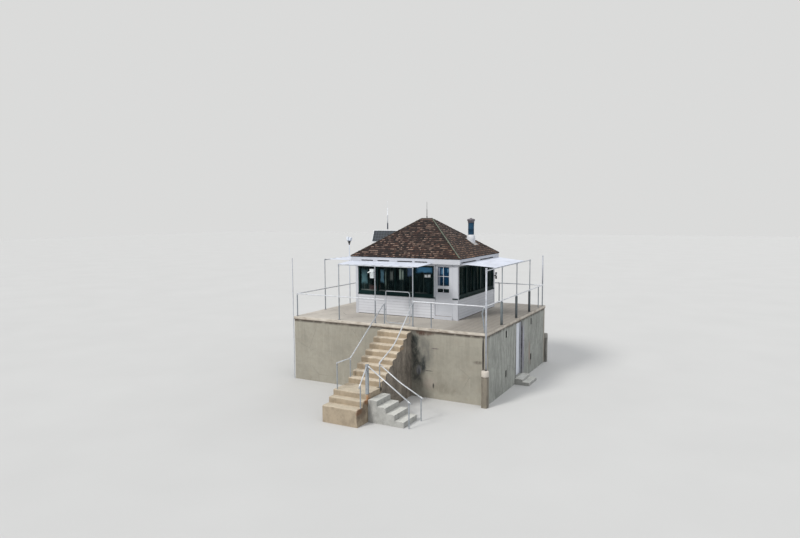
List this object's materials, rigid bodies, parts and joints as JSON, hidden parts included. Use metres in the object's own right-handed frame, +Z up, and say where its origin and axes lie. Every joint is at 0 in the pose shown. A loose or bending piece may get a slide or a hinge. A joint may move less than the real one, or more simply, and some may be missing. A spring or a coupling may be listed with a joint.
{
  "type": "fire lookout tower",
  "caption": "One-room wooden lookout cabin with a hip roof on a hollow concrete base with deck, outside stairs, pipe rails, gate and awnings.",
  "frame": {"origin": "middle of the concrete base's underside, on the ground", "axes": "+Z up, +Y from the stair side to the back, +X to the right seen from the stair side, where the base's door is"},
  "size_m": [10.565, 13.1806, 8.33],
  "materials": {
    "concrete_warm": "weathered poured concrete",
    "concrete_cool": "weathered poured concrete",
    "concrete_deck": "trowelled concrete",
    "concrete_pale": "poured concrete",
    "white_paint": "painted wood, white",
    "green_paint": "painted wood, dark green",
    "floor_boards": "worn boards",
    "clear_glass": "window glass",
    "pipe_steel": "dull galvanised pipe",
    "canvas": "woven white canvas",
    "shingle": "weathered brown shingles",
    "cap_green": "weathered grey-green",
    "flue_steel": "dull dark blue-grey",
    "white_metal": "white painted metal",
    "panel_cells": "dark glazed cells",
    "dark_metal": "dark painted metal"
  },
  "bodies": {
    "lookout": {"base_floor": "concrete_cool", "base_front_wall": "concrete_warm", "base_back_wall": "concrete_warm", "base_left_wall": "concrete_cool", "base_right_wall_near": "concrete_cool", "base_right_wall_far": "concrete_cool", "base_door_lintel": "concrete_cool", "base_door_frame": "white_paint", "door_steps": "concrete_cool", "deck_slab": "concrete_deck", "corner_pier": "concrete_cool", "main_flight": "concrete_warm", "landing": "concrete_warm", "side_flight": "concrete_pale", "stair_posts": "pipe_steel", "main_stair_rails": "pipe_steel", "side_stair_rails": "pipe_steel", "rail_posts": "pipe_steel", "deck_rails": "pipe_steel", "awning_poles": "pipe_steel", "awning_pipes": "pipe_steel", "front_awning": "canvas", "right_awning": "canvas", "left_awning": "canvas", "corner_mast": "pipe_steel", "sensor_post": "white_metal", "weather_box": "white_metal", "cabin_floor": "floor_boards", "cabin_front_wall": "white_paint", "cabin_right_wall": "white_paint", "cabin_back_wall": "white_paint", "cabin_left_wall": "white_paint", "cabin_frame": "white_paint", "window_frames": "green_paint", "window_glass": "clear_glass", "cabin_door_frame": "white_paint", "eaves": "white_paint", "roof": "shingle", "hip_caps": "cap_green", "flue": "flue_steel", "flue_flashing": "white_metal", "solar_panel": "panel_cells", "antenna_mast": "white_metal", "lightning_rod": "dark_metal", "corner_lantern": "dark_metal"},
    "cabin_door": {"cabin_door": "white_paint", "cabin_door_glass": "clear_glass"},
    "base_door": {"base_door": "white_paint"},
    "gate": {"gate": "pipe_steel"}
  },
  "joints": [
    {"name": "cabin_door_swing", "type": "hinge", "parent": "lookout", "child": "cabin_door", "pos_m": [2.264, -1.96, 4.14], "axis": [0, 0, -1], "range_deg": [0, 90]},
    {"name": "base_door_swing", "type": "hinge", "parent": "lookout", "child": "base_door", "pos_m": [4.554, 0.397, 1.44], "axis": [0, 0, -1], "range_deg": [0, 90]},
    {"name": "gate_swing", "type": "hinge", "parent": "lookout", "child": "gate", "pos_m": [1.348, -4.11, 3.64], "axis": [0, 0, -1], "range_deg": [0, 100]}
  ]
}
